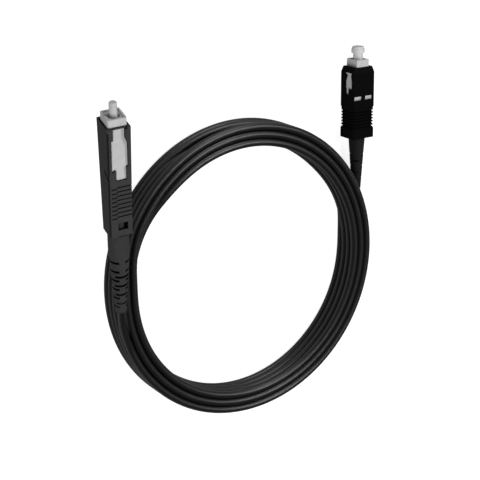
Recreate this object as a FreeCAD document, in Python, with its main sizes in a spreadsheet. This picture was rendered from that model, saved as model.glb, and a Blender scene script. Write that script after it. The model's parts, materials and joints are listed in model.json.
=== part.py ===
import FreeCAD
import Part

import math
import os

import Sketcher

os.makedirs("parts", exist_ok=True)

doc = FreeCAD.newDocument("patch_cable")
Vector = FreeCAD.Vector
Rotation = FreeCAD.Rotation

# Driving dimensions in millimetres and degrees.
# Stations run along a connector from the rear plane of its sliding housing towards the ferrule.
# Across a connector, X is the wide way of the housing and Y is the narrow way.
DIMENSIONS = {
    # Cable and coil
    "cable_dia": 2.7,
    "buffer_dia": 0.9,
    "coil_inner_radius": 43.8,
    "coil_columns": 3,
    "coil_layers": 4,
    # Parts that both connectors share
    "overshoot": 1.0,
    "ferrule_dia": 2.5,
    "ferrule_chamfer": 0.25,
    "ferrule_hole_dia": 1.1,
    "fibre_hole_dia": 0.15,
    "ferrule_cone": 1.0,
    "ferrule_seat_to_tip": 9.2,
    "ferrule_in_flange": 1.5,
    "ferrule_tail_dia": 2.1,
    "seat_gap": 0.05,
    "flange_dia": 4.6,
    "flange_collar": 2.0,
    "flange_tail_dia": 2.0,
    "flange_tail_end": 6.2,
    "spring_dia": 4.6,
    "spring_wire": 0.5,
    "spring_wire_sides": 5,
    "spring_turns": 5,
    "spring_rear": 9.0,
    "frame_chamber_dia": 5.2,
    "frame_bore_dia": 3.9,
    "frame_pocket_wall": 0.6,
    "frame_pocket_depth": 0.5,
    "frame_rear": 12.5,
    "slide_gap": 0.05,
    "sleeve_travel": 2.0,
    "travel_gap": 0.02,
    "stop_insert_gap": 0.05,
    "stop_collar_dia": 5.6,
    "stop_collar_length": 1.2,
    "stop_barrel_dia": 4.0,
    "stop_barrel_length": 8.0,
    "stop_bore_dia": 1.4,
    "crimp_wall": 0.45,
    "crimp_start": 0.5,
    "crimp_length": 10.0,
    "crimp_neck": 2.0,
    "crimp_clearance": 0.1,
    "jacket_gap": 0.03,
    "boot_slot_reach": 4.0,
    "boot_core_wall": 0.42,
    # Connector A, with the long tapered housing
    "a_housing_length": 39.0,
    "a_front_wide": 9.0,
    "a_front_narrow": 7.4,
    "a_rear_wide": 6.6,
    "a_rear_narrow": 7.2,
    "a_rear_cavity_wide": 5.5,
    "a_rear_cavity_narrow": 6.0,
    "a_frame_stand": 2.5,
    "a_tip_stand": 6.6,
    "a_frame_wide": 6.7,
    "a_frame_narrow": 6.1,
    "a_frame_corner": 0.6,
    "a_skirt_bore_dia": 5.7,
    "a_notch_left": 2.7,
    "a_notch_right": 2.0,
    "a_notch_low": 1.5,
    "a_notch_high": 0.4,
    "a_notch_depth": 1.4,
    # Window stations are distances behind the housing's front rim
    "a_window_lip": 0.5,
    "a_window_shoulder": 4.0,
    "a_window_slope": 6.0,
    "a_window_step": 13.8,
    "a_window_foot": 18.25,
    "a_window_top_half": 1.92,
    "a_window_left": 2.5,
    "a_window_right": 2.7,
    "a_window_foot_left": 1.2,
    "a_window_foot_right": 2.1,
    "a_tongue_left": 2.0,
    "a_tongue_rise": 0.5,
    "a_tongue_bevel": 0.3,
    "a_notch_foot": 1.2,
    "a_set_back_length": 0.7,
    "a_set_back_depth": 0.5,
    "a_set_back_right": 2.6,
    "a_slit_near": 15.3,
    "a_slit_far": 17.2,
    "a_slit_start": 0.4,
    "a_slit_end": 3.5,
    "a_slit_width": 0.95,
    "a_rear_notch_left": 1.05,
    "a_rear_notch_length": 0.25,
    "a_hole_low": 2.55,
    "a_hole_high": 5.2,
    "a_hole_left": 1.0,
    "a_hole_right": 2.2,
    "a_hole_depth": 1.2,
    "a_rebate_top": 1.2,
    "a_rebate_width": 0.35,
    "a_rebate_depth": 0.85,
    "a_grip_pitch": 1.53,
    "a_grip_width": 0.5,
    "a_grip_depth": 0.3,
    "a_grip_count": 8,
    "a_grip_first": 7.45,
    "a_grip_split": -1.15,
    "a_boot_neck_dia": 5.2,
    "a_boot_wide": 5.8,
    "a_boot_narrow": 6.4,
    "a_boot_corner": 2.2,
    "a_boot_gap": 0.3,
    "a_boot_shoulder": 5.0,
    "a_boot_shoulder_dia": 6.9,
    "a_boot_length": 30.6,
    "a_boot_end_dia": 3.85,
    "a_boot_slot": 0.85,
    "a_boot_slot_pitch": 3.56,
    "a_boot_side_first": 10.2,
    "a_boot_side_slots": 6,
    "a_boot_side_depth": 1.0,
    "a_boot_face_first": 15.8,
    "a_boot_face_slots": 4,
    "a_boot_face_half": 2.2,
    # Connector B, with the standard housing and a dust cap
    "b_housing_length": 25.5,
    "b_wide": 9.0,
    "b_narrow": 7.4,
    "b_cavity_wide_wall": 0.5,
    "b_frame_stand": 2.5,
    "b_nose_wide": 5.2,
    "b_nose_narrow": 5.7,
    "b_body_back": 1.0,
    "b_lip": 0.9,
    "b_lip_gap": 0.1,
    "b_tip_stand": 6.0,
    "b_body_step": 0.3,
    "b_window_top": 23.6,
    "b_window_neck": 22.6,
    "b_window_swell": 20.4,
    "b_window_step": 17.8,
    "b_window_foot": 15.7,
    "b_window_head_low": 1.6,
    "b_window_head_high": 2.4,
    "b_window_neck_low": 0.4,
    "b_window_neck_high": 2.05,
    "b_window_swell_low": 1.3,
    "b_window_swell_high": 2.5,
    "b_window_tail_low": 1.0,
    "b_window_tail_high": 0.7,
    "b_front_chamfer": 0.55,
    "b_front_chamfer_length": 2.0,
    "b_flange_length": 3.5,
    "b_grip_front": 11.1,
    "b_grip_corner": 0.9,
    "b_grip_inset": 0.35,
    "b_grip_groove": 0.3,
    "b_grip_pitch": 1.08,
    "b_grip_count": 6,
    "b_grip_first": 3.9,
    "b_rear_hole_dia": 6.5,
    "b_rear_wall": 3.0,
    "b_mark_station": 14.58,
    "b_mark_height": 1.45,
    "b_mark_inner": 0.6,
    "b_mark_outer": 4.1,
    "b_boot_dia": 5.9,
    "b_boot_on_crimp": 6.9,
    "b_boot_shoulder": 1.9,
    "b_boot_waist": 3.1,
    "b_boot_waist_dia": 5.15,
    "b_boot_length": 19.0,
    "b_boot_end_dia": 3.3,
    "b_boot_slot": 0.55,
    "b_boot_slot_pitch": 4.3,
    "b_boot_right_first": 4.3,
    "b_boot_right_slots": 3,
    "b_boot_left_first": 6.6,
    "b_boot_left_slots": 2,
    "b_boot_slot_turn": 45.0,
    "b_cap_neck_dia": 3.45,
    "b_cap_bore_gap": 0.03,
    "b_cap_head_dia": 4.65,
    "b_cap_head_length": 2.1,
    "b_cap_top_wall": 0.8,
    "b_cap_insert": 4.0,
    "b_cap_tip_gap": 0.1,
    "b_cap_edge": 0.4,
    "b_cap_edge_length": 0.9,
    # Where the connectors lie in the coiled cable's frame
    "a_x": -60.38,
    "a_y": 16.89,
    "a_z": 21.18,
    "a_yaw": 18.4,
    "a_pitch": 14.6,
    "a_roll": -8.7,
    "b_x": 41.85,
    "b_y": 47.74,
    "b_yaw": 10.6,
}

sheet = doc.addObject("Spreadsheet::Sheet", "dims")
sheet.Label = "dims"
for row, (alias, value) in enumerate(DIMENSIONS.items(), start=1):
    sheet.set("A%d" % row, alias.replace("_", " "))
    sheet.set("B%d" % row, str(value))
    sheet.setAlias("B%d" % row, alias)
doc.recompute()


# A spare object whose one property works out the number behind an expression.
probe = doc.addObject("App::FeaturePython", "probe")
probe.addProperty("App::PropertyFloat", "Result")


def value(expression):
    """The number that an expression of the sheet's sizes gives."""
    probe.setExpression("Result", expression)
    probe.recompute()
    return probe.Result


def bind(item, prop, expression):
    item.setExpression(prop, expression)


def box(name, low, size):
    """A block from its low corner and its size, each three expressions."""
    item = doc.addObject("Part::Box", name)
    for prop, expression in zip(("Length", "Width", "Height"), size):
        bind(item, prop, expression)
    for axis, expression in zip("xyz", low):
        bind(item, "Placement.Base." + axis, expression)
    return item


def fuse(name, items):
    if len(items) == 1:
        return items[0]
    item = doc.addObject("Part::MultiFuse", name)
    item.Shapes = items
    return item


def cut(name, base, tools):
    item = doc.addObject("Part::Cut", name)
    item.Base = base
    item.Tool = fuse(name + "_cuts", tools)
    return item


def origin_plane(body, role):
    for feature in body.Origin.OriginFeatures:
        if feature.Role == role:
            return feature
    raise ValueError(role)


def polygon_sketch(body, name, role, corners):
    """A closed outline whose corners are each bound to a pair of expressions."""
    sketch = body.newObject("Sketcher::SketchObject", name)
    sketch.AttachmentSupport = (origin_plane(body, role), [""])
    sketch.MapMode = "FlatFace"
    points = [Vector(value(u), value(v), 0) for u, v in corners]
    count = len(points)
    for i in range(count):
        sketch.addGeometry(Part.LineSegment(points[i], points[(i + 1) % count]), False)
    for i in range(count):
        sketch.addConstraint(Sketcher.Constraint("Coincident", i, 2, (i + 1) % count, 1))
    for i, (u, v) in enumerate(corners):
        for kind, expression in (("DistanceX", u), ("DistanceY", v)):
            number = value(expression)
            constraint = Sketcher.Constraint(kind, -1, 1, i, 1, number)
            index = sketch.addConstraint(constraint)
            sketch.setExpression("Constraints[%d]" % index, expression)
    return sketch


def turned(name, corners):
    """A turned piece: an outline of (radius, station) pairs revolved about the axis."""
    body = doc.addObject("PartDesign::Body", name)
    sketch = polygon_sketch(body, name + "_profile", "XZ_Plane", corners)
    revolution = body.newObject("PartDesign::Revolution", name + "_turned")
    revolution.Profile = sketch
    revolution.ReferenceAxis = (sketch, ["V_Axis"])
    revolution.Angle = 360
    return body


def prism(name, role, corners, length, offset="0"):
    """An outline padded at right angles to its plane, from an offset."""
    body = doc.addObject("PartDesign::Body", name)
    sketch = polygon_sketch(body, name + "_profile", role, corners)
    bind(sketch, "AttachmentOffset.Base.z", offset)
    pad = body.newObject("PartDesign::Pad", name + "_pad")
    pad.Profile = sketch
    bind(pad, "Length", length)
    return body


def rounded_sketch(body, name, wide, narrow, corner, station):
    """A rounded rectangle centred on the axis at a station."""
    sketch = body.newObject("Sketcher::SketchObject", name)
    sketch.AttachmentSupport = (origin_plane(body, "XY_Plane"), [""])
    sketch.MapMode = "FlatFace"
    bind(sketch, "AttachmentOffset.Base.z", station)
    half_x, half_y, r = value(wide) / 2, value(narrow) / 2, value(corner)
    centres = [(half_x - r, half_y - r), (r - half_x, half_y - r),
               (r - half_x, r - half_y), (half_x - r, r - half_y)]
    arcs = []
    for quarter, (cx, cy) in enumerate(centres):
        circle = Part.Circle(Vector(cx, cy, 0), Vector(0, 0, 1), r)
        start = quarter * math.pi / 2
        arcs.append(sketch.addGeometry(Part.ArcOfCircle(circle, start, start + math.pi / 2), False))
    lines = []
    for quarter in range(4):
        a = sketch.Geometry[arcs[quarter]].EndPoint
        b = sketch.Geometry[arcs[(quarter + 1) % 4]].StartPoint
        lines.append(sketch.addGeometry(Part.LineSegment(a, b), False))
    for quarter in range(4):
        sketch.addConstraint(Sketcher.Constraint("Tangent", arcs[quarter], 2, lines[quarter], 1))
        sketch.addConstraint(
            Sketcher.Constraint("Tangent", lines[quarter], 2, arcs[(quarter + 1) % 4], 1))
    for arc in arcs[1:]:
        sketch.addConstraint(Sketcher.Constraint("Equal", arcs[0], arc))
    sketch.addConstraint(Sketcher.Constraint("Horizontal", lines[0]))
    sketch.addConstraint(Sketcher.Constraint("Vertical", lines[1]))
    sketch.addConstraint(Sketcher.Constraint("Symmetric", arcs[0], 3, arcs[2], 3, -1, 1))
    for kind, first, second, expression in (("DistanceX", arcs[1], arcs[0], wide),
                                            ("DistanceY", arcs[3], arcs[0], narrow)):
        span = "%s - 2 * (%s)" % (expression, corner)
        index = sketch.addConstraint(
            Sketcher.Constraint(kind, first, 3, second, 3, value(span)))
        sketch.setExpression("Constraints[%d]" % index, span)
    index = sketch.addConstraint(Sketcher.Constraint("Radius", arcs[0], r))
    sketch.setExpression("Constraints[%d]" % index, corner)
    return sketch


def centred(expression):
    return "-(%s) / 2" % expression


# Where each connector's pieces go: its own axis becomes a direction across the coil's frame.
LIE_A = Rotation(Vector(0, 0, 1), Vector(1, 0, 0), Vector(0, 1, 0), "ZXY")
LIE_B = Rotation(Vector(-1, 0, 0), Vector(0, 0, 1), Vector(0, 1, 0), "ZXY")
turn_a = Rotation(Vector(0, 0, 1), value("dims.a_yaw"))
turn_a = turn_a.multiply(Rotation(Vector(1, 0, 0), value("dims.a_pitch")))
turn_a = turn_a.multiply(Rotation(Vector(0, 1, 0), value("dims.a_roll")))
turn_b = Rotation(Vector(0, 0, 1), value("dims.b_yaw"))
POSE = {
    "a": FreeCAD.Placement(Vector(value("dims.a_x"), value("dims.a_y"), value("dims.a_z")),
                           turn_a.multiply(LIE_A)),
    "b": FreeCAD.Placement(Vector(value("dims.b_x"), value("dims.b_y"),
                                  value("dims.b_narrow / 2")),
                           turn_b.multiply(LIE_B)),
}
nodes = []


def keep(item, node, end=None):
    """Name a finished piece and put it in its place."""
    item.Label = node
    if end:
        item.Placement = POSE[end]
    nodes.append(item)


# The inner pieces are alike in both connectors, set out from the seat of the ferrule's flange.
def ferrule_tip(end):
    return "(dims.%s_housing_length + dims.%s_tip_stand)" % (end, end)


def frame_front(end):
    return "(dims.%s_housing_length + dims.%s_frame_stand)" % (end, end)


def seat(end):
    return "(%s - dims.ferrule_seat_to_tip)" % ferrule_tip(end)


def make_ferrule(end):
    tip = ferrule_tip(end)
    shoulder = "%s - dims.seat_gap" % seat(end)
    rear = "%s - dims.ferrule_in_flange" % seat(end)
    radius = "dims.ferrule_dia / 2"
    tail = "dims.ferrule_tail_dia / 2"
    hole = "dims.ferrule_hole_dia / 2"
    small = "dims.ferrule_dia / 2 - dims.ferrule_chamfer"
    point = "dims.fibre_hole_dia / 2"
    corners = [(hole, rear), (tail, rear), (tail, shoulder), (radius, shoulder),
               (radius, tip + " - dims.ferrule_chamfer"), (small, tip), (point, tip),
               (point, tip + " - dims.ferrule_cone"), (hole, tip + " - 2 * dims.ferrule_cone")]
    keep(turned(end + "_ferrule_body", corners), end + "_ferrule", end)


def make_flange(end):
    front = "%s - dims.seat_gap" % seat(end)
    collar = "%s - dims.flange_collar" % front
    floor = "%s - dims.ferrule_in_flange" % seat(end)
    tail = "%s - dims.flange_tail_end" % seat(end)
    bore = "dims.ferrule_tail_dia / 2"
    hole = "dims.ferrule_hole_dia / 2"
    outer = "dims.flange_dia / 2"
    corners = [(bore, front), (outer, front), (outer, collar), ("dims.flange_tail_dia / 2", collar),
               ("dims.flange_tail_dia / 2", tail), (hole, tail), (hole, floor), (bore, floor)]
    keep(turned(end + "_flange_body", corners), end + "_ferrule_flange", end)


def make_spring(end):
    front = "%s - dims.seat_gap - dims.flange_collar" % seat(end)
    rear = "%s - dims.spring_rear" % seat(end)
    mean = "(dims.spring_dia - dims.spring_wire) / 2"
    height = "(%s) - (%s) - dims.spring_wire - 2 * dims.seat_gap" % (front, rear)
    helix = doc.addObject("Part::Helix", end + "_spring_path")
    bind(helix, "Radius", mean)
    bind(helix, "Height", height)
    bind(helix, "Pitch", "(%s) / dims.spring_turns" % height)
    wire = doc.addObject("Part::RegularPolygon", end + "_spring_wire")
    bind(wire, "Polygon", "dims.spring_wire_sides")
    bind(wire, "Circumradius", "dims.spring_wire / 2")
    wire.Placement.Rotation = Rotation(Vector(1, 0, 0), 90)
    bind(wire, "Placement.Base.x", mean)
    doc.recompute()
    coil = doc.addObject("Part::Sweep", end + "_spring_coil")
    coil.Sections = [wire]
    coil.Spine = (helix, ["Edge%d" % (i + 1) for i in range(len(helix.Shape.Edges))])
    coil.Solid = True
    coil.Frenet = True
    base = "%s + dims.spring_wire / 2 + dims.seat_gap" % rear
    for part in (helix, wire):
        bind(part, "Placement.Base.z", base)
    keep(coil, end + "_spring", end)


def make_stop_body(end):
    front = "%s - dims.spring_rear" % seat(end)
    shoulder = "%s - dims.frame_rear" % seat(end)
    collar = "%s - dims.stop_collar_length" % shoulder
    rear = "%s - dims.stop_barrel_length" % collar
    insert = "dims.frame_chamber_dia / 2 - dims.stop_insert_gap"
    barrel = "dims.stop_barrel_dia / 2"
    corners = [("dims.stop_bore_dia / 2", front), (insert, front), (insert, shoulder),
               ("dims.stop_collar_dia / 2", shoulder), ("dims.stop_collar_dia / 2", collar),
               (barrel, collar), (barrel, rear), ("dims.stop_bore_dia / 2", rear)]
    keep(turned(end + "_stop", corners), end + "_stop_body", end)


def crimp_rear(end):
    return ("%s - dims.frame_rear - dims.stop_collar_length - dims.crimp_start"
            " - dims.crimp_length" % seat(end))


def make_crimp_ring(end):
    rear = crimp_rear(end)
    front = "%s + dims.crimp_length" % rear
    neck = "%s + dims.crimp_neck" % rear
    bore = "dims.stop_barrel_dia / 2 + dims.jacket_gap"
    small = "dims.cable_dia / 2 + dims.jacket_gap"
    outer = "%s + dims.crimp_wall" % bore
    neck_outer = "%s + dims.crimp_wall" % small
    slope = "%s + dims.crimp_neck + dims.crimp_wall" % rear
    corners = [(bore, front), (outer, front), (outer, slope), (neck_outer, neck),
               (neck_outer, rear), (small, rear), (small, neck), (bore, slope)]
    keep(turned(end + "_crimp", corners), end + "_crimp_ring", end)


def jacket_front(end):
    return "%s + dims.crimp_neck" % crimp_rear(end)


def make_jacket(end):
    item = turned(end + "_jacket", [
        ("0", jacket_front(end)), ("dims.cable_dia / 2", jacket_front(end)),
        ("dims.cable_dia / 2", "-dims.%s_boot_length" % end),
        ("0", "-dims.%s_boot_length" % end)])
    keep(item, end + "_jacket_end", end)


def make_fibre(end):
    front = "%s - dims.ferrule_in_flange - dims.seat_gap" % seat(end)
    item = turned(end + "_fibre", [
        ("0", jacket_front(end)), ("dims.buffer_dia / 2", jacket_front(end)),
        ("dims.buffer_dia / 2", front), ("0", front)])
    keep(item, end + "_buffered_fibre", end)


def frame_cuts(end):
    """The pocket round the ferrule, its bore and the chamber for flange and spring."""
    front = frame_front(end)
    wide = {"a": "dims.a_frame_wide", "b": "dims.b_nose_wide"}[end]
    narrow = {"a": "dims.a_frame_narrow", "b": "dims.b_nose_narrow"}[end]
    pocket_wide = "(%s - 2 * dims.frame_pocket_wall)" % wide
    pocket_narrow = "(%s - 2 * dims.frame_pocket_wall)" % narrow
    pocket = box(end + "_frame_pocket",
                 (centred(pocket_wide), centred(pocket_narrow),
                  front + " - dims.frame_pocket_depth"),
                 (pocket_wide, pocket_narrow, "dims.frame_pocket_depth + dims.overshoot"))
    rear = "%s - dims.frame_rear" % seat(end)
    past_rear = rear + " - dims.overshoot"
    bore = turned(end + "_frame_bore", [
        ("0", past_rear), ("dims.frame_chamber_dia / 2", past_rear),
        ("dims.frame_chamber_dia / 2", seat(end)), ("dims.frame_bore_dia / 2", seat(end)),
        ("dims.frame_bore_dia / 2", front), ("0", front)])
    return [pocket, bore]


# Connector A
A_TAPER = math.degrees(math.atan2(value("dims.a_front_wide - dims.a_rear_wide") / 2,
                                  value("dims.a_housing_length")))


def behind_rim(expression):
    """A station at a distance behind the front rim of housing A."""
    return "(dims.a_housing_length - (%s))" % expression


# The frame reaches down to the foot of the window, and stays clear of the cavity's end in travel.
SKIRT_END = behind_rim("dims.a_window_foot") + " - dims.slide_gap"
CAVITY_STEP = "(%s - dims.sleeve_travel - dims.travel_gap)" % SKIRT_END


def make_frame_a():
    body = doc.addObject("PartDesign::Body", "a_frame_body")
    sketch = rounded_sketch(body, "a_frame_section", "dims.a_frame_wide",
                            "dims.a_frame_narrow", "dims.a_frame_corner", SKIRT_END)
    pad = body.newObject("PartDesign::Pad", "a_frame_pad")
    pad.Profile = sketch
    bind(pad, "Length", "%s - (%s)" % (frame_front("a"), SKIRT_END))
    skirt = doc.addObject("Part::Cylinder", "a_skirt_bore")
    bind(skirt, "Radius", "dims.a_skirt_bore_dia / 2")
    bind(skirt, "Height", "%s - dims.frame_rear - (%s) + dims.overshoot" % (seat("a"), SKIRT_END))
    bind(skirt, "Placement.Base.z", "%s - dims.overshoot" % SKIRT_END)
    notch = box("a_frame_notch",
                ("-dims.a_notch_low", "-dims.a_notch_left",
                 "%s - dims.a_notch_depth" % frame_front("a")),
                ("dims.a_notch_low - dims.a_notch_high", "dims.a_notch_left - dims.a_notch_right",
                 "dims.a_notch_depth"))
    keep(cut("a_frame", body, frame_cuts("a") + [skirt, notch]), "a_plug_frame", "a")


def face_box(name, low_y, high_y, low, high, depth):
    """A cut in the window face, in that face's own frame: X out of it, Z along it."""
    return box(name, ("-(%s)" % depth, low_y, low),
               ("%s + dims.overshoot" % depth, "(%s) - (%s)" % (high_y, low_y),
                "(%s) - (%s)" % (high, low)))


def make_housing_a():
    shell = doc.addObject("Part::Wedge", "a_housing_shell")
    # A wedge runs along its own Y, so it is turned to lie along the connector's axis.
    for prop, expression in (
            ("Ymin", "0"), ("Ymax", "dims.a_housing_length"),
            ("Xmin", "-dims.a_rear_wide / 2"), ("Xmax", "dims.a_rear_wide / 2"),
            ("Zmin", "-dims.a_rear_narrow / 2"), ("Zmax", "dims.a_rear_narrow / 2"),
            ("X2min", "-dims.a_front_wide / 2"), ("X2max", "dims.a_front_wide / 2"),
            ("Z2min", "-dims.a_front_narrow / 2"), ("Z2max", "dims.a_front_narrow / 2")):
        bind(shell, prop, expression)
    shell.Placement.Rotation = Rotation(Vector(1, 0, 0), 90)
    cavity_wide = "(dims.a_frame_wide + 2 * dims.slide_gap)"
    cavity_narrow = "(dims.a_frame_narrow + 2 * dims.slide_gap)"
    cavity = box("a_cavity", (centred(cavity_wide), centred(cavity_narrow), CAVITY_STEP),
                 (cavity_wide, cavity_narrow, "dims.a_housing_length"))
    rear = box("a_rear_cavity",
               (centred("dims.a_rear_cavity_wide"), centred("dims.a_rear_cavity_narrow"),
                "-dims.overshoot"),
               ("dims.a_rear_cavity_wide", "dims.a_rear_cavity_narrow",
                CAVITY_STEP + " + 2 * dims.overshoot"))
    rebate_inner = "-dims.a_rear_narrow / 2 + dims.a_rebate_width"
    rebate = face_box("a_corner_rebate", "-dims.a_front_narrow", rebate_inner,
                      "-dims.overshoot", behind_rim("dims.a_rebate_top"), "dims.a_rebate_depth")
    set_back = face_box("a_set_back", "-dims.a_window_top_half", "dims.a_set_back_right",
                        behind_rim("dims.a_set_back_length"),
                        "dims.a_housing_length + dims.overshoot", "dims.a_set_back_depth")
    hole = face_box("a_square_hole", "-dims.a_hole_left", "dims.a_hole_right",
                    "dims.a_hole_low", "dims.a_hole_high", "dims.a_hole_depth")
    notch = face_box("a_rear_notch", "-dims.a_rear_notch_left", "dims.a_front_narrow",
                     "-dims.overshoot", "dims.a_rear_notch_length", "dims.a_hole_depth")
    cuts = [make_window_a(), rebate, set_back, hole, notch]
    for i in range(int(value("dims.a_grip_count"))):
        station = "dims.a_grip_first + %d * dims.a_grip_pitch" % i
        lower = station + " - dims.a_grip_pitch / 3"
        long_cut = face_box("a_grip_long_%d" % i, "dims.a_grip_split", "dims.a_front_narrow",
                            station, station + " + dims.a_grip_width", "dims.a_grip_depth")
        short_cut = face_box("a_grip_short_%d" % i, rebate_inner + " + dims.a_rebate_width",
                             "dims.a_grip_split", lower, lower + " + dims.a_grip_width",
                             "dims.a_grip_depth")
        cuts += [long_cut, short_cut]
    face = doc.addObject("Part::MultiFuse", "a_face_cuts")
    face.Shapes = cuts
    bind(face, "Placement.Base.x", "dims.a_rear_wide / 2")
    face.Placement.Rotation = Rotation(Vector(0, 1, 0), A_TAPER)
    housing = doc.addObject("Part::Cut", "a_housing")
    housing.Base = shell
    housing.Tool = fuse("a_housing_cuts", [cavity, rear, face, make_slit_a()])
    keep(housing, "a_outer_housing", "a")


def make_window_a():
    """The stepped window over the plug frame, with a tongue at the side of its foot."""
    top = behind_rim("dims.a_window_lip")
    shoulder = behind_rim("dims.a_window_shoulder")
    step = behind_rim("dims.a_window_step")
    foot = behind_rim("dims.a_window_foot")
    notch_foot = step + " - dims.a_notch_foot"
    tongue_top = notch_foot + " + dims.a_tongue_rise"
    tongue_left = "-dims.a_tongue_left"
    foot_left = "-dims.a_window_foot_left"
    return prism("a_window", "YZ_Plane", [
        ("-dims.a_window_top_half", top), ("-dims.a_window_top_half", shoulder),
        ("-dims.a_window_left", shoulder), ("-dims.a_window_left", notch_foot),
        (tongue_left, notch_foot), (tongue_left, tongue_top + " - dims.a_tongue_bevel"),
        (tongue_left + " + dims.a_tongue_bevel", tongue_top),
        (foot_left + " - dims.a_tongue_bevel", tongue_top),
        (foot_left, tongue_top + " - dims.a_tongue_bevel"), (foot_left, foot),
        ("dims.a_window_foot_right", foot), ("dims.a_window_foot_right", step),
        ("dims.a_window_right", step),
        ("dims.a_window_right", behind_rim("dims.a_window_slope")),
        ("dims.a_window_top_half", shoulder), ("dims.a_window_top_half", top)],
        "dims.a_frame_narrow", centred("dims.a_frame_narrow"))


def make_slit_a():
    """A slanted slit through the housing's side wall, beside the window's foot."""
    near = behind_rim("dims.a_slit_near")
    far = behind_rim("dims.a_slit_far")
    return prism("a_side_slit", "XZ_Plane", [
        ("dims.a_slit_start", near), ("dims.a_slit_end", far),
        ("dims.a_slit_end", far + " - dims.a_slit_width"),
        ("dims.a_slit_start", near + " - dims.a_slit_width")],
        "dims.a_front_narrow / 2", "dims.a_frame_narrow / 2 - dims.slide_gap")


def make_boot_a():
    body = doc.addObject("PartDesign::Body", "a_boot_body")
    end = "-dims.a_boot_length"
    section = rounded_sketch(body, "a_boot_section", "dims.a_boot_wide", "dims.a_boot_narrow",
                             "dims.a_boot_corner", end)
    pad = body.newObject("PartDesign::Pad", "a_boot_pad")
    pad.Profile = section
    bind(pad, "Length", "dims.a_boot_length - dims.a_boot_gap")
    envelope = turned("a_boot_envelope", [
        ("0", end), ("dims.a_boot_end_dia / 2", end),
        ("dims.a_boot_shoulder_dia / 2", "-dims.a_boot_shoulder"),
        ("dims.a_boot_shoulder_dia / 2", "0"), ("0", "0")])
    tapered = doc.addObject("Part::MultiCommon", "a_boot_tapered")
    tapered.Shapes = [body, envelope]
    front = "%s - 2 * dims.crimp_clearance" % crimp_rear("a")
    neck = turned("a_boot_neck", [
        ("0", "-dims.overshoot"), ("dims.a_boot_neck_dia / 2", "-dims.overshoot"),
        ("dims.a_boot_neck_dia / 2", front), ("0", front)])
    small = "dims.cable_dia / 2 + dims.jacket_gap"
    past_end = end + " - dims.overshoot"
    past_front = front + " + dims.overshoot"
    bore = turned("a_boot_bore", [
        ("0", past_end), (small, past_end), (small, past_front), ("0", past_front)])
    slots = []
    for i in range(int(value("dims.a_boot_side_slots"))):
        slots += slot_pair("a", "side_%d" % i, "y", "dims.a_boot_side_first", i,
                           "dims.a_boot_side_depth", "dims.boot_slot_reach")
    for i in range(int(value("dims.a_boot_face_slots"))):
        slots += slot_pair("a", "face_%d" % i, "x", "dims.a_boot_face_first", i,
                           "dims.a_boot_side_depth", "dims.a_boot_face_half")
    keep(cut("a_boot_cut", fuse("a_boot_solid", [tapered, neck]),
             [bore, clear_of_core("a", slots)]), "a_boot", "a")


def slot_pair(end, name, way, first, index, depth, half):
    """Two slots on opposite sides of a boot, from a depth outwards and half as wide each way."""
    slot = "dims.%s_boot_slot" % end
    station = "-(%s) - %d * dims.%s_boot_slot_pitch - %s / 2" % (first, index, end, slot)
    pair = []
    for side, low in (("near", depth), ("far", "-(%s) - dims.boot_slot_reach" % depth)):
        corner = (low, "-(%s)" % half, station)
        size = ("dims.boot_slot_reach", "2 * (%s)" % half, slot)
        if way == "y":
            corner = (corner[1], corner[0], corner[2])
            size = (size[1], size[0], size[2])
        pair.append(box("%s_slot_%s_%s" % (end, name, side), corner, size))
    return pair


def clear_of_core(end, slots):
    """The slots of a boot, less the wall that stays round the cable."""
    core = doc.addObject("Part::Cylinder", end + "_boot_core")
    bind(core, "Radius", "dims.cable_dia / 2 + dims.boot_core_wall")
    bind(core, "Height", "dims.%s_boot_length" % end)
    bind(core, "Placement.Base.z", "-dims.%s_boot_length" % end)
    item = doc.addObject("Part::Cut", end + "_boot_slots_cut")
    item.Base = fuse(end + "_boot_slots_fused", slots)
    item.Tool = core
    return item


# Connector B
def make_frame_b():
    rear = "%s - dims.frame_rear" % seat("b")
    body_wide = "(dims.b_wide - 2 * dims.b_cavity_wide_wall - 2 * dims.slide_gap)"
    body_narrow = "(dims.b_nose_narrow + dims.b_body_step)"
    body_front = "dims.b_housing_length - dims.b_body_back"
    nose = box("b_frame_nose", (centred("dims.b_nose_wide"), centred("dims.b_nose_narrow"), rear),
               ("dims.b_nose_wide", "dims.b_nose_narrow",
                "%s - (%s)" % (frame_front("b"), rear)))
    body = box("b_frame_block", (centred(body_wide), centred(body_narrow), rear),
               (body_wide, body_narrow, "%s - (%s)" % (body_front, rear)))
    keep(cut("b_frame", fuse("b_frame_solid", [nose, body]), frame_cuts("b")),
         "b_plug_frame", "b")


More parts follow.
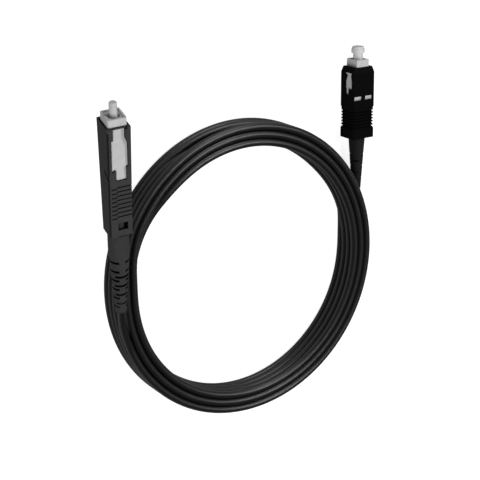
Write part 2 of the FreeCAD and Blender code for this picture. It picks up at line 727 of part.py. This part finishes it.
def make_housing_b():
    half_wide = "dims.b_wide / 2"
    half_narrow = "dims.b_narrow / 2"
    shell = box("b_shell", (centred("dims.b_wide"), centred("dims.b_narrow"), "0"),
                ("dims.b_wide", "dims.b_narrow", "dims.b_housing_length"))
    body_narrow = "(dims.b_nose_narrow + dims.b_body_step + 2 * dims.slide_gap)"
    cavity_wide = "(dims.b_wide - 2 * dims.b_cavity_wide_wall)"
    cavity = box("b_cavity", (centred(cavity_wide), centred(body_narrow), "dims.b_rear_wall"),
                 (cavity_wide, body_narrow,
                  "dims.b_housing_length - dims.b_lip - dims.b_rear_wall"))
    mouth_wide = "(dims.b_nose_wide + 2 * dims.b_lip_gap)"
    mouth_narrow = "(dims.b_nose_narrow + 2 * dims.b_lip_gap)"
    mouth = box("b_mouth", (centred(mouth_wide), centred(mouth_narrow), "dims.b_rear_wall"),
                (mouth_wide, mouth_narrow, "dims.b_housing_length"))
    rear = doc.addObject("Part::Cylinder", "b_rear_hole")
    bind(rear, "Radius", "dims.b_rear_hole_dia / 2")
    bind(rear, "Height", "dims.b_rear_wall + 2 * dims.overshoot")
    bind(rear, "Placement.Base.z", "-dims.overshoot")
    cuts = [cavity, mouth, rear]
    front = "dims.b_housing_length"
    past_front = front + " + dims.overshoot"
    low = "dims.b_housing_length - dims.b_front_chamfer_length"
    for side in (1, -1):
        for role, half, reach in (("XZ_Plane", half_wide, "dims.b_narrow + 2 * dims.overshoot"),
                                  ("YZ_Plane", half_narrow, "dims.b_wide + 2 * dims.overshoot")):
            name = "b_front_bevel_%s_%s" % (role[0].lower(), "high" if side > 0 else "low")
            corners = [("%d * (%s)" % (side, half), low),
                       ("%d * (%s + dims.overshoot)" % (side, half), low),
                       ("%d * (%s + dims.overshoot)" % (side, half), past_front),
                       ("%d * (%s - dims.b_front_chamfer)" % (side, half), past_front),
                       ("%d * (%s - dims.b_front_chamfer)" % (side, half), front)]
            cuts.append(prism(name, role, corners, reach, "-(%s) / 2" % reach))
    neck_top = "(dims.b_window_top + dims.b_window_neck) / 2"
    low_side = [("-dims.b_window_head_low", "dims.b_window_top"),
                ("-dims.b_window_head_low", neck_top),
                ("-dims.b_window_neck_low", "dims.b_window_neck"),
                ("-dims.b_window_swell_low", "dims.b_window_swell"),
                ("-dims.b_window_swell_low", "dims.b_window_step"),
                ("-dims.b_window_tail_low", "dims.b_window_step"),
                ("-dims.b_window_tail_low", "dims.b_window_foot")]
    high_side = [("dims.b_window_tail_high", "dims.b_window_foot"),
                 ("dims.b_window_tail_high", "dims.b_window_step"),
                 ("dims.b_window_swell_high", "dims.b_window_step"),
                 ("dims.b_window_swell_high", "dims.b_window_swell"),
                 ("dims.b_window_neck_high", "dims.b_window_neck"),
                 ("dims.b_window_head_high", neck_top),
                 ("dims.b_window_head_high", "dims.b_window_top")]
    window = prism("b_window", "YZ_Plane", low_side + high_side,
                   "dims.b_wide + 2 * dims.overshoot", centred("dims.b_wide + 2 * dims.overshoot"))
    cuts.append(window)
    for side in (1, -1):
        low_x = "dims.b_mark_inner" if side > 0 else "-dims.b_mark_outer"
        cuts.append(box("b_mark_%s" % ("left" if side > 0 else "right"),
                        (low_x, "0", "dims.b_mark_station - dims.b_mark_height / 2"),
                        ("dims.b_mark_outer - dims.b_mark_inner", "dims.b_narrow",
                         "dims.b_mark_height")))
    cuts += grip_cuts_b()
    keep(cut("b_housing", shell, cuts), "b_outer_housing", "b")


def ring_cut(name, inset, low, high):
    """Takes a band of the given depth off all four sides between two stations."""
    past_wide = "dims.b_wide + 2 * dims.overshoot"
    past_narrow = "dims.b_narrow + 2 * dims.overshoot"
    outer = box(name + "_outer", (centred(past_wide), centred(past_narrow), low),
                (past_wide, past_narrow, "(%s) - (%s)" % (high, low)))
    inner_wide = "(dims.b_wide - 2 * (%s))" % inset
    inner_narrow = "(dims.b_narrow - 2 * (%s))" % inset
    inner = box(name + "_inner",
                (centred(inner_wide), centred(inner_narrow), low + " - dims.overshoot"),
                (inner_wide, inner_narrow, "(%s) - (%s) + 2 * dims.overshoot" % (high, low)))
    return cut(name, outer, [inner])


def grip_cuts_b():
    """The waisted grip with its grooves and two bevelled corners, and the rear flange behind."""
    cuts = [ring_cut("b_grip_waist", "dims.b_grip_inset / 2", "dims.b_flange_length",
                     "dims.b_grip_front")]
    for i in range(int(value("dims.b_grip_count"))):
        station = "dims.b_grip_first + %d * dims.b_grip_pitch" % i
        cuts.append(ring_cut("b_grip_groove_%d" % i, "dims.b_grip_inset / 2 + dims.b_grip_groove",
                             station, station + " + dims.b_grip_pitch / 2"))
    for name, side in (("b_corner_top", 1), ("b_corner_under", -1)):
        edge_x = "%d * dims.b_wide / 2" % side
        edge_y = "%d * dims.b_narrow / 2" % side
        back_x = "%s - %d * dims.b_grip_corner" % (edge_x, side)
        back_y = "%s - %d * dims.b_grip_corner" % (edge_y, side)
        past_x = "%s + %d * dims.overshoot" % (edge_x, side)
        past_y = "%s + %d * dims.overshoot" % (edge_y, side)
        corners = [(back_x, edge_y), (back_x, past_y), (past_x, past_y), (past_x, back_y),
                   (edge_x, back_y)]
        cuts.append(prism(name, "XY_Plane", corners, "dims.b_grip_front + dims.overshoot",
                          "-dims.overshoot"))
    return cuts


def make_boot_b():
    socket = "dims.stop_barrel_dia / 2 + 2 * dims.jacket_gap + dims.crimp_wall"
    crimp_end = "%s - dims.crimp_clearance" % crimp_rear("b")
    small = "dims.cable_dia / 2 + dims.jacket_gap"
    end = "-dims.b_boot_length"
    front = "%s + dims.b_boot_on_crimp" % crimp_rear("b")
    shoulder = "%s + dims.b_boot_shoulder" % crimp_rear("b")
    waist = "%s - dims.b_boot_waist" % crimp_rear("b")
    shell = turned("b_boot_shell", [
        ("0", end), ("dims.b_boot_end_dia / 2", end), ("dims.b_boot_waist_dia / 2", waist),
        ("dims.b_boot_dia / 2", shoulder), ("dims.b_boot_dia / 2", front), ("0", front)])
    past_end = "-dims.b_boot_length - dims.overshoot"
    past_front = "%s + dims.overshoot" % front
    bore = turned("b_boot_bore", [
        ("0", past_end), (small, past_end), (small, crimp_end), (socket, crimp_end),
        (socket, past_front), ("0", past_front)])
    depth = "(dims.cable_dia / 2 + dims.boot_core_wall)"
    slots = []
    for i in range(int(value("dims.b_boot_right_slots"))):
        slots += slot_pair("b", "right_%d" % i, "y",
                           "dims.b_boot_right_first - (%s)" % crimp_rear("b"), i, depth,
                           "dims.boot_slot_reach")
    for i in range(int(value("dims.b_boot_left_slots"))):
        slots += slot_pair("b", "left_%d" % i, "x",
                           "dims.b_boot_left_first - (%s)" % crimp_rear("b"), i, depth,
                           "dims.boot_slot_reach")
    turned_slots = doc.addObject("Part::MultiFuse", "b_boot_slots")
    turned_slots.Shapes = slots
    bind(turned_slots, "Placement.Rotation.Angle", "dims.b_boot_slot_turn")
    keep(cut("b_boot_cut", shell, [bore, turned_slots]), "b_boot", "b")


def make_cap_b():
    front = frame_front("b")
    rear = "%s - dims.b_cap_insert" % front
    bore = "dims.ferrule_dia / 2 + dims.b_cap_bore_gap"
    floor = "%s + dims.b_cap_tip_gap" % ferrule_tip("b")
    top = "%s + dims.b_cap_top_wall" % floor
    head = "%s - dims.b_cap_head_length" % top
    neck = "dims.b_cap_neck_dia / 2"
    wide = "dims.b_cap_head_dia / 2"
    body = turned("b_cap_body", [
        (bore, rear), (neck, rear), (neck, front), (neck, head), (wide, head),
        (wide, top + " - dims.b_cap_edge_length"), (wide + " - dims.b_cap_edge", top),
        ("0", top), ("0", floor), (bore, floor)])
    keep(body, "b_dust_cap", "b")


# The coiled stretch is one ring whose section holds every turn of the cable.
def make_coil():
    height = "dims.coil_layers * dims.cable_dia"
    outer = "dims.coil_inner_radius + dims.coil_columns * dims.cable_dia"
    item = turned("coil_ring", [
        ("dims.coil_inner_radius", "0"), (outer, "0"), (outer, height),
        ("dims.coil_inner_radius", height)])
    keep(item, "cable_coil")


def coil_point(column, layer, angle):
    """The centre of the turn in a column and a layer of the coil, at an angle in degrees."""
    dia = value("dims.cable_dia")
    radius = value("dims.coil_inner_radius") + dia * (column + 0.5)
    turn = math.radians(angle)
    return Vector(radius * math.cos(turn), radius * math.sin(turn), dia * (layer + 0.5))


def tube(name, points):
    """A tube along straight runs joined by tangent arcs, as large as the runs allow."""
    edges = []
    start = points[0]
    radii = []
    for before, corner, after in zip(points, points[1:], points[2:]):
        inward = (before - corner).normalize()
        outward = (after - corner).normalize()
        half_turn = (math.pi - inward.getAngle(outward)) / 2
        reach = 0.45 * min((before - corner).Length, (after - corner).Length)
        radius = reach / math.tan(half_turn)
        radii.append(round(radius, 1))
        first = corner + inward * reach
        last = corner + outward * reach
        middle_way = (inward + outward).normalize()
        middle = corner + middle_way * (radius / math.cos(half_turn) - radius)
        edges.append(Part.LineSegment(start, first).toShape())
        edges.append(Part.Arc(first, middle, last).toShape())
        start = last
    edges.append(Part.LineSegment(start, points[-1]).toShape())
    path = Part.Wire(edges)
    section_radius = value("dims.cable_dia") / 2
    section = Part.Wire(Part.Circle(points[0], points[1] - points[0], section_radius).toShape())
    shape = path.makePipeShell([section], True, True)
    expected = math.pi * section_radius ** 2 * path.Length
    print(name, "arc radii", radii, "length", round(path.Length, 2),
          "volume ratio", round(shape.Volume / expected, 4))
    item = doc.addObject("Part::Feature", name + "_tube")
    item.Shape = shape
    keep(item, name)


def boot_mouth(end, extra=0.0):
    """A point on a connector's axis at the rear of its boot, or further behind it."""
    station = -value("dims.%s_boot_length" % end) - extra
    return POSE[end].multVec(Vector(0, 0, station))


# Each lead leaves its boot straight, then joins the outer turns at angles about the coil.
LEAD_A_STRAIGHT = 7.0
LEAD_A_JOINS = (209, 218, 226)
LEAD_B_STRAIGHT = 5.0
LEAD_B_DROP = 12.0
LEAD_B_JOINS = (10, 2)


def make_leads():
    outer = value("dims.coil_columns") - 1
    top = value("dims.coil_layers") - 1
    joins = [coil_point(outer, top, angle) for angle in LEAD_A_JOINS]
    tube("cable_lead_a", [boot_mouth("a"), boot_mouth("a", LEAD_A_STRAIGHT)] + joins)
    drop = Vector(0, 0, value("dims.cable_dia / 2 - dims.b_narrow / 2"))
    joins = [coil_point(outer, 0, angle) for angle in LEAD_B_JOINS]
    tube("cable_lead_b", [boot_mouth("b"), boot_mouth("b", LEAD_B_STRAIGHT),
                          boot_mouth("b", LEAD_B_DROP) + drop] + joins)


for end in ("a", "b"):
    make_ferrule(end)
    make_flange(end)
    make_spring(end)
    make_stop_body(end)
    make_crimp_ring(end)
    make_fibre(end)
    make_jacket(end)
make_frame_a()
make_housing_a()
make_boot_a()
make_frame_b()
make_housing_b()
make_boot_b()
make_cap_b()
make_coil()
make_leads()
doc.recompute()

for item in doc.Objects:
    if "Invalid" in item.State or "Error" in item.State:
        raise RuntimeError("%s failed: %s" % (item.Name, item.State))
for item in nodes:
    if item.Shape.isNull() or not item.Shape.isValid():
        raise RuntimeError("%s has no valid shape" % item.Label)
    print(item.Label, "solids", len(item.Shape.Solids), "volume", round(item.Shape.Volume, 2))
for item in nodes:
    item.Shape.exportStep("parts/%s.step" % item.Label)
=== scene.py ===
import json
import math

import bpy
from mathutils import Matrix, Vector


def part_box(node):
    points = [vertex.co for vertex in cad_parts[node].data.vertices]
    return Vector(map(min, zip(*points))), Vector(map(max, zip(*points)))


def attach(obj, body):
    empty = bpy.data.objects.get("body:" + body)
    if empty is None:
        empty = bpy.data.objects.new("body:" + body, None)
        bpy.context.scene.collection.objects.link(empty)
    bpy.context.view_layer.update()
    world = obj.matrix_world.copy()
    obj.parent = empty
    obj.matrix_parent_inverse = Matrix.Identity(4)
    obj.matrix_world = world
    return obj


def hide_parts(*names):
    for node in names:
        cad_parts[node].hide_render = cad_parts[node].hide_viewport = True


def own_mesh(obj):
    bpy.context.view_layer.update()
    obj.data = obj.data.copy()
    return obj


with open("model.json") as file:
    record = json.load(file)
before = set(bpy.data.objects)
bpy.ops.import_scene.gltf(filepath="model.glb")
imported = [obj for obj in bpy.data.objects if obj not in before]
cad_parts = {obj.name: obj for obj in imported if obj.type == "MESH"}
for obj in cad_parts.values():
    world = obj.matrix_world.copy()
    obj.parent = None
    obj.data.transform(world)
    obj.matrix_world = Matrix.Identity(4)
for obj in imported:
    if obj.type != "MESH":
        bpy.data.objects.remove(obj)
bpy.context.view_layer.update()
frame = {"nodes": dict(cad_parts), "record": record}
record = frame["record"]
mounts = {mount["name"]: mount for mount in record["mounts"]}
MM = 0.001

# How far behind a housing's front rim its boot ends.
PLUG_LENGTH = {"a": 69.6 * MM, "b": 44.5 * MM}

# The coil: its turns fill the section of the solid that the cable replaces.
COLUMNS = 3
LAYERS = 4
coil_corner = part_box("cable_coil")[1]
CABLE_DIA = coil_corner.z / LAYERS
COIL_INNER = coil_corner.x - COLUMNS * CABLE_DIA

# Columns and layers that the cable fills one after the other, from plug A's end to plug B's.
SLOTS = [(2, 3), (1, 3), (0, 3),
         (0, 2), (1, 2), (2, 2),
         (2, 1), (1, 1), (0, 1),
         (0, 0), (1, 0), (2, 0)]
# Angles are in degrees, counted up through all the turns: the step from one point of the route
# to the next, and the angles between which such points lie.
STEP = 10
FIRST_TURN_ANGLE = 236
LAST_TURN_ANGLE = 360 * len(SLOTS) - STEP
# After each turn the cable moves to its next slot, in one of seven stretches of the far half.
MOVES = [6, 6, 5, 4, 4, 3, 2, 2, 1, 0, 0]
MOVE_START = 371.2
MOVE_SPAN = 25.5

# Lead A runs straight out of its boot, and comes onto the top outer turn at these angles.
LEAD_A_STRAIGHT = 7.0 * MM
LEAD_A_ANGLES = (209, 218, 226)
# Lead B swings off the lowest outer turn, at these angles and by so much outwards. It touches
# the floor a little to the side of its plug's axis, and rises to run straight into its boot.
LEAD_B_SWING = ((0, 0.3 * MM), (6, 1.0 * MM))
LEAD_B_FLOOR = 11.0 * MM
LEAD_B_ASIDE = Vector((0.983, 0.184, 0)) * 1.2 * MM
LEAD_B_STRAIGHT = 5.0 * MM

# Each plug's spring: how far behind the front rim its two ends are, its radius, its wire, its
# turns, and the points drawn in each turn.
SPRING_ENDS = {"a": (4.65 * MM, 11.6 * MM), "b": (5.25 * MM, 12.2 * MM)}
SPRING_RADIUS = 2.05 * MM
SPRING_WIRE = 0.5 * MM
SPRING_TURNS = 5
SPRING_STEPS_PER_TURN = 24

# How finely the curves are drawn: along the cable between two points of its route, and round
# the cable and the springs' wire.
CABLE_STEPS = 4
CABLE_ROUNDNESS = 6
WIRE_ROUNDNESS = 3

# The openness at which a gap counts as deep and gets the full painted shade, and the one from
# which a surface counts as open and gets none.
CREVICE_DEEP = 0.4
CREVICE_OPEN = 0.9
# The factor, the two colours and the result among the sockets of a mix node.
MIX_INPUTS = (0, 6, 7)
MIX_RESULT = 2
# How far moulded plastic's mottling and roughness stray to either side.
MOTTLE = (0.85, 1.17)
ROUGH_SPREAD = (-0.06, 0.08)

# The floor, and the white that each kind of ray sees in the floor and in the world.
FLOOR_SIZE = 6.0
FLOOR_DEPTH = 0.2 * MM
FLOOR_LEVEL = 0.4
FLOOR_LIGHT = 0.0
FLOOR_WHITE = {"Is Camera Ray": 0.88, "Is Glossy Ray": 0.05, "Is Transmission Ray": 0.3}
WORLD_LIGHT = 0.06
WORLD_WHITE = {"Is Camera Ray": 0.94, "Is Glossy Ray": 0.02, "Is Transmission Ray": 0.5}

# Each lamp's place, its size in metres, its power in watts, and whether shiny surfaces mirror it.
LAMPS = {
    "key": ((-0.42, -0.4, 0.74), 0.5, 4.9, False),
    "top": ((0.32, 0.28, 0.84), 0.24, 3.0, True),
    "low": ((0.05, 0.9, 0.35), 0.3, 2.1, True),
}

# The camera stands where a fit to the coil's outlines in the photograph puts it.
CAMERA_PLACE = Vector((-0.2681, 0.1098, 0.3824))
CAMERA_RIGHT = Vector((0.827267, 0.143980, 0.543350))
CAMERA_DOWN = Vector((0.0, -0.966638, 0.256145))
CAMERA_FORWARD = Vector((0.562103, -0.211849, -0.799475))
SENSOR = 36.0
FOCAL_PIXELS = 1372.0
PHOTO_PIXELS = 480.0


def add_object(name, data):
    item = bpy.data.objects.new(name, data)
    bpy.context.collection.objects.link(item)
    return item


def make_camera():
    data = bpy.data.cameras.new("camera")
    data.sensor_width = SENSOR
    data.lens = SENSOR * FOCAL_PIXELS / PHOTO_PIXELS
    camera = add_object("camera", data)
    turn = Matrix((CAMERA_RIGHT, -CAMERA_DOWN, -CAMERA_FORWARD)).transposed()
    camera.matrix_world = Matrix.Translation(CAMERA_PLACE) @ turn.to_4x4()
    bpy.context.scene.camera = camera


# Materials


def put(tree, content, socket):
    """Link a node's output to a socket, or set the socket's own number or colour."""
    if isinstance(content, bpy.types.NodeSocket):
        tree.links.new(content, socket)
    else:
        socket.default_value = content


def grey(level, tint=1.0):
    """A grey, with its blue scaled by a tint."""
    return (level, level, level * tint, 1.0)


# The black painted into grooves and gaps as shade, and a plain white.
PAINTED_SHADE_BLACK = grey(0.0)
WHITE = grey(1.0)


class Nodes:
    """A small helper that adds and joins the nodes of one material."""

    def __init__(self, name):
        self.material = bpy.data.materials.new(name)
        self.material.use_nodes = True
        self.tree = self.material.node_tree
        self.shader = self.tree.nodes["Principled BSDF"]
        self.place = self.add("ShaderNodeTexCoord").outputs["Object"]

    def fill(self, node, inputs):
        for name, content in inputs.items():
            put(self.tree, content, node.inputs[name.replace("_", " ")])
        return node

    def add(self, kind, **inputs):
        return self.fill(self.tree.nodes.new(kind), inputs)

    def noise(self, scale, detail=3.0, roughness=0.5):
        """Noise whose patches are about 1 / scale metres across."""
        node = self.add("ShaderNodeTexNoise", Vector=self.place, Scale=scale, Detail=detail,
                        Roughness=roughness)
        return node.outputs["Fac"]

    def spread(self, share, low, high):
        """A share from 0 to 1 spread between two values."""
        node = self.add("ShaderNodeMapRange", Value=share, To_Min=low, To_Max=high)
        return node.outputs["Result"]

    def blend(self, share, first, second):
        """The first colour at a share of 0, the second at 1."""
        node = self.tree.nodes.new("ShaderNodeMix")
        node.data_type = "RGBA"
        for index, content in zip(MIX_INPUTS, (share, first, second)):
            put(self.tree, content, node.inputs[index])
        return node.outputs[MIX_RESULT]

    def painted_crevice_shade(self, reach, darkest):
        """Painted shade: 1 on open surfaces, falling to the darkest share in grooves and gaps,
        where shade falls.
        """
        openness = self.add("ShaderNodeAmbientOcclusion", Distance=reach).outputs["AO"]
        node = self.add("ShaderNodeMapRange", Value=openness, From_Min=CREVICE_DEEP,
                        From_Max=CREVICE_OPEN, To_Min=darkest)
        return node.outputs["Result"]

    def softened(self, radius):
        """A normal that rounds the edges."""
        return self.add("ShaderNodeBevel", Radius=radius).outputs["Normal"]

    def bump(self, height, distance, strength, **normal):
        node = self.add("ShaderNodeBump", Height=height, Distance=distance, Strength=strength,
                        **normal)
        return node.outputs["Normal"]

    def finish(self, **inputs):
        """Fill the shader's own sockets, and give the material."""
        self.fill(self.shader, inputs)
        return self.material


def moulded(name, level, rough, specular=0.5, darkest=0.05, edge=0.12 * MM):
    """Moulded plastic: faint mottling, a fine spark-eroded grain, softened edges, and painted
    shade in grooves and gaps, down to the darkest share of brightness.
    """
    nodes = Nodes(name)
    base = nodes.blend(nodes.noise(420.0, 4.0, 0.6), *(grey(level * share) for share in MOTTLE))
    # Painted shade: grooves and gaps are darkened towards black, where shade falls.
    base = nodes.blend(nodes.painted_crevice_shade(2.0 * MM, darkest), PAINTED_SHADE_BLACK, base)
    normal = nodes.bump(nodes.noise(5200.0, 2.0), 0.012 * MM, 0.6, Normal=nodes.softened(edge))
    roughness = nodes.spread(nodes.noise(900.0), *(rough + stray for stray in ROUGH_SPREAD))
    return nodes.finish(Base_Color=base, Normal=normal, Specular_IOR_Level=specular,
                        Roughness=roughness)


def make_jacket_material():
    """Black jacket: satin, with faint draw marks, rubbed patches, and painted shade in the gaps
    between turns.
    """
    nodes = Nodes("cable_jacket")
    base = nodes.blend(nodes.noise(160.0, 4.0, 0.6), grey(0.002), grey(0.004))
    # Painted shade: the gaps between the turns are painted black.
    base = nodes.blend(nodes.painted_crevice_shade(1.6 * MM, 0.0), PAINTED_SHADE_BLACK, base)
    normal = nodes.bump(nodes.noise(2600.0, 3.0, 0.6), 0.012 * MM, 0.5)
    return nodes.finish(Base_Color=base, Normal=normal, Specular_IOR_Level=0.9,
                        Roughness=nodes.spread(nodes.noise(380.0, 4.0), 0.38, 0.48))


def make_ceramic_material():
    """Polished ceramic under a thin clear coat."""
    nodes = Nodes("ceramic")
    base = nodes.blend(nodes.noise(700.0, 2.0), grey(0.62, 0.99), grey(0.68, 0.98))
    normal = nodes.bump(nodes.noise(6000.0, 2.0), 0.002 * MM, 0.3)
    return nodes.finish(Base_Color=base, Normal=normal, Coat_Weight=0.3, Coat_Roughness=0.08,
                        Roughness=nodes.spread(nodes.noise(1200.0), 0.16, 0.24))


def make_metal_material():
    """Turned metal."""
    nodes = Nodes("metal")
    base = nodes.blend(nodes.noise(900.0), grey(0.5), grey(0.62))
    normal = nodes.bump(nodes.noise(5200.0, 2.0), 0.003 * MM, 0.5)
    return nodes.finish(Base_Color=base, Normal=normal, Metallic=1.0,
                        Roughness=nodes.spread(nodes.noise(1500.0), 0.24, 0.4))


def make_buffer_material():
    """The pale plastic round the fibre."""
    nodes = Nodes("buffer")
    base = nodes.blend(nodes.noise(900.0, 2.0), grey(0.7, 0.95), grey(0.8, 0.95))
    normal = nodes.bump(nodes.noise(4200.0, 2.0), 0.004 * MM, 0.4)
    return nodes.finish(Base_Color=base, Normal=normal,
                        Roughness=nodes.spread(nodes.noise(1300.0), 0.35, 0.5))


def make_cap_material():
    """Milky soft plastic that lets some light through."""
    nodes = Nodes("cap_plastic")
    base = nodes.blend(nodes.noise(600.0), grey(0.84), grey(0.9))
    normal = nodes.bump(nodes.noise(3600.0, 2.0), 0.006 * MM, 0.4,
                        Normal=nodes.softened(0.15 * MM))
    return nodes.finish(Base_Color=base, Normal=normal, Transmission_Weight=0.12, IOR=1.5,
                        Roughness=nodes.spread(nodes.noise(1000.0), 0.28, 0.38))


def make_finishes():
    """A material for each of the record's slots."""
    return {
        "cable_jacket": make_jacket_material(),
        "housing_grey": moulded("housing_grey", level=0.054, rough=0.55, specular=0.02),
        "housing_black": moulded("housing_black", level=0.004, rough=0.45, specular=0.02),
        "frame_plastic": moulded("frame_plastic", level=0.64, rough=0.5, specular=0.2,
                                 darkest=0.95),
        "ceramic": make_ceramic_material(),
        "metal": make_metal_material(),
        "boot_grey": moulded("boot_grey", level=0.046, rough=0.6, specular=0.12),
        "boot_black": moulded("boot_black", level=0.014, rough=0.5, specular=0.15),
        "buffer": make_buffer_material(),
        "cap_plastic": make_cap_material(),
    }


def dress_nodes(finishes):
    """Give every piece from the frame the finish of its slot."""
    slots = {row["node"]: row["material_slot"] for row in record["subparts"]}
    for node, item in frame["nodes"].items():
        item.data.materials.clear()
        item.data.materials.append(finishes[slots[node]])


# Cable and springs


def behind_rim(plug, distance):
    """A point on a plug's axis, this far behind its housing's front rim."""
    mount = mounts[plug + "_plug_body"]
    return Vector(mount["pos_m"]) - Vector(mount["axis"]) * distance


def mouth(plug, behind=0.0):
    """A point on a plug's axis at the rear of its boot, or further behind it."""
    return behind_rim(plug, PLUG_LENGTH[plug] + behind)


def tube(name, kind, route, diameter, roundness):
    """A round, closed curve of one spline along a route."""
    curve = bpy.data.curves.new(name, "CURVE")
    curve.dimensions = "3D"
    spline = curve.splines.new(kind)
    spline.points.add(len(route) - 1)
    for point, place in zip(spline.points, route):
        point.co = (*place, 1)
    curve.bevel_depth = diameter / 2
    curve.bevel_resolution = roundness
    curve.use_fill_caps = True
    return curve


def slot_place(angle):
    """The column and layer at an angle."""
    turn = math.floor((angle - MOVE_START) / 360)
    if turn < 0:
        return SLOTS[0]
    if turn >= len(MOVES):
        return SLOTS[-1]
    along = (angle - MOVE_START - 360 * turn - MOVES[turn] * MOVE_SPAN) / MOVE_SPAN
    along = min(max(along, 0.0), 1.0)
    share = along * along * (3 - 2 * along)
    before, after = SLOTS[turn], SLOTS[turn + 1]
    return tuple(before[i] + (after[i] - before[i]) * share for i in (0, 1))


def coil_point(column, layer, angle, outward=0.0):
    """A control point of the cable's spline, which passes a little inside such points."""
    radius = COIL_INNER + CABLE_DIA * (column + 0.5)
    radius = radius / math.cos(math.radians(STEP / 2)) + outward
    turn = math.radians(angle)
    return Vector((radius * math.cos(turn), radius * math.sin(turn), CABLE_DIA * (layer + 0.5)))


def make_cable(finish):
    route = [mouth("a"), mouth("a", LEAD_A_STRAIGHT)]
    route += [coil_point(*SLOTS[0], angle) for angle in LEAD_A_ANGLES]
    for angle in range(FIRST_TURN_ANGLE, LAST_TURN_ANGLE + 1, STEP):
        route.append(coil_point(*slot_place(angle), angle))
    route += [coil_point(*SLOTS[-1], angle, outward) for angle, outward in LEAD_B_SWING]
    to_floor = Vector((0, 0, CABLE_DIA / 2 - mouth("b").z))
    route += [mouth("b", LEAD_B_FLOOR) + to_floor + LEAD_B_ASIDE,
              mouth("b", LEAD_B_STRAIGHT), mouth("b")]
    curve = tube("cable", "NURBS", route, CABLE_DIA, CABLE_ROUNDNESS)
    spline = curve.splines[0]
    spline.order_u = 3
    spline.use_endpoint_u = True
    curve.resolution_u = CABLE_STEPS
    cable = add_object("cable", curve)
    cable.data.materials.append(finish)
    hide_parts("cable_coil", "cable_lead_a", "cable_lead_b")
    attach(cable, "cable")


def make_spring(plug, finish):
    """A plug's spring, with closer turns at its ends."""
    front, rear = (behind_rim(plug, distance) for distance in SPRING_ENDS[plug])
    axis = (front - rear).normalized()
    side = axis.orthogonal().normalized()
    up = axis.cross(side)
    room = (front - rear).length
    rise = room - SPRING_WIRE
    steps = SPRING_TURNS * SPRING_STEPS_PER_TURN
    route = []
    for index in range(steps + 1):
        share = index / steps
        turn = 2 * math.pi * SPRING_TURNS * share
        height = SPRING_WIRE / 2 + rise * (share - math.sin(2 * math.pi * share) / (4 * math.pi))
        outward = side * math.cos(turn) + up * math.sin(turn)
        route.append(rear + axis * height + outward * SPRING_RADIUS)
    curve = tube(plug + "_spring_path", "POLY", route, SPRING_WIRE, WIRE_ROUNDNESS)
    path = bpy.data.objects.new(plug + "_spring_path", curve)
    mesh = bpy.data.meshes.new_from_object(path)
    bpy.data.objects.remove(path)
    mesh.materials.clear()
    mesh.materials.append(finish)
    spring = add_object(plug + "_spring_wire", mesh)
    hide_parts(plug + "_spring")
    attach(spring, "cable")
    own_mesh(spring)


# Stage and light


def background_strength(tree, plain, white):
    """A strength for every ray, and more for the kinds of ray that show a background."""
    path = tree.nodes.new("ShaderNodeLightPath")
    strength = plain
    for ray, share in white.items():
        step = tree.nodes.new("ShaderNodeMath")
        step.operation = "MULTIPLY_ADD"
        for socket, content in zip(step.inputs, (path.outputs[ray], share, strength)):
            put(tree, content, socket)
        strength = step.outputs[0]
    return strength


def make_floor():
    """A pale floor that looks white and keeps the object's shadow."""
    bpy.ops.mesh.primitive_plane_add(size=FLOOR_SIZE, location=(0, 0, -FLOOR_DEPTH))
    floor = bpy.context.object
    floor.name = "floor"
    material = bpy.data.materials.new("floor")
    material.use_nodes = True
    tree = material.node_tree
    tree.nodes.clear()
    output = tree.nodes.new("ShaderNodeOutputMaterial")
    diffuse = tree.nodes.new("ShaderNodeBsdfDiffuse")
    diffuse.inputs["Color"].default_value = grey(FLOOR_LEVEL)
    glow = tree.nodes.new("ShaderNodeEmission")
    both = tree.nodes.new("ShaderNodeAddShader")
    put(tree, background_strength(tree, FLOOR_LIGHT, FLOOR_WHITE), glow.inputs["Strength"])
    put(tree, diffuse.outputs[0], both.inputs[0])
    put(tree, glow.outputs[0], both.inputs[1])
    put(tree, both.outputs[0], output.inputs["Surface"])
    floor.data.materials.append(material)


def make_world():
    world = bpy.data.worlds.new("studio")
    bpy.context.scene.world = world
    world.use_nodes = True
    tree = world.node_tree
    background = tree.nodes["Background"]
    background.inputs["Color"].default_value = WHITE
    put(tree, background_strength(tree, WORLD_LIGHT, WORLD_WHITE), background.inputs["Strength"])


def soft_lamp(name, place, size, power, mirrored):
    """A square lamp that faces the coil's middle."""
    data = bpy.data.lights.new(name, "AREA")
    data.size = size
    data.energy = power
    lamp = add_object(name, data)
    lamp.location = place
    lamp.rotation_euler = (-Vector(place)).to_track_quat("-Z", "Y").to_euler()
    lamp.visible_glossy = mirrored
    lamp.visible_camera = False


make_camera()
finishes = make_finishes()
make_cable(finishes["cable_jacket"])
for plug in PLUG_LENGTH:
    make_spring(plug, finishes["metal"])
dress_nodes(finishes)
make_floor()
make_world()
for name, facts in LAMPS.items():
    soft_lamp(name, *facts)
bpy.context.scene.view_settings.view_transform = "Standard"
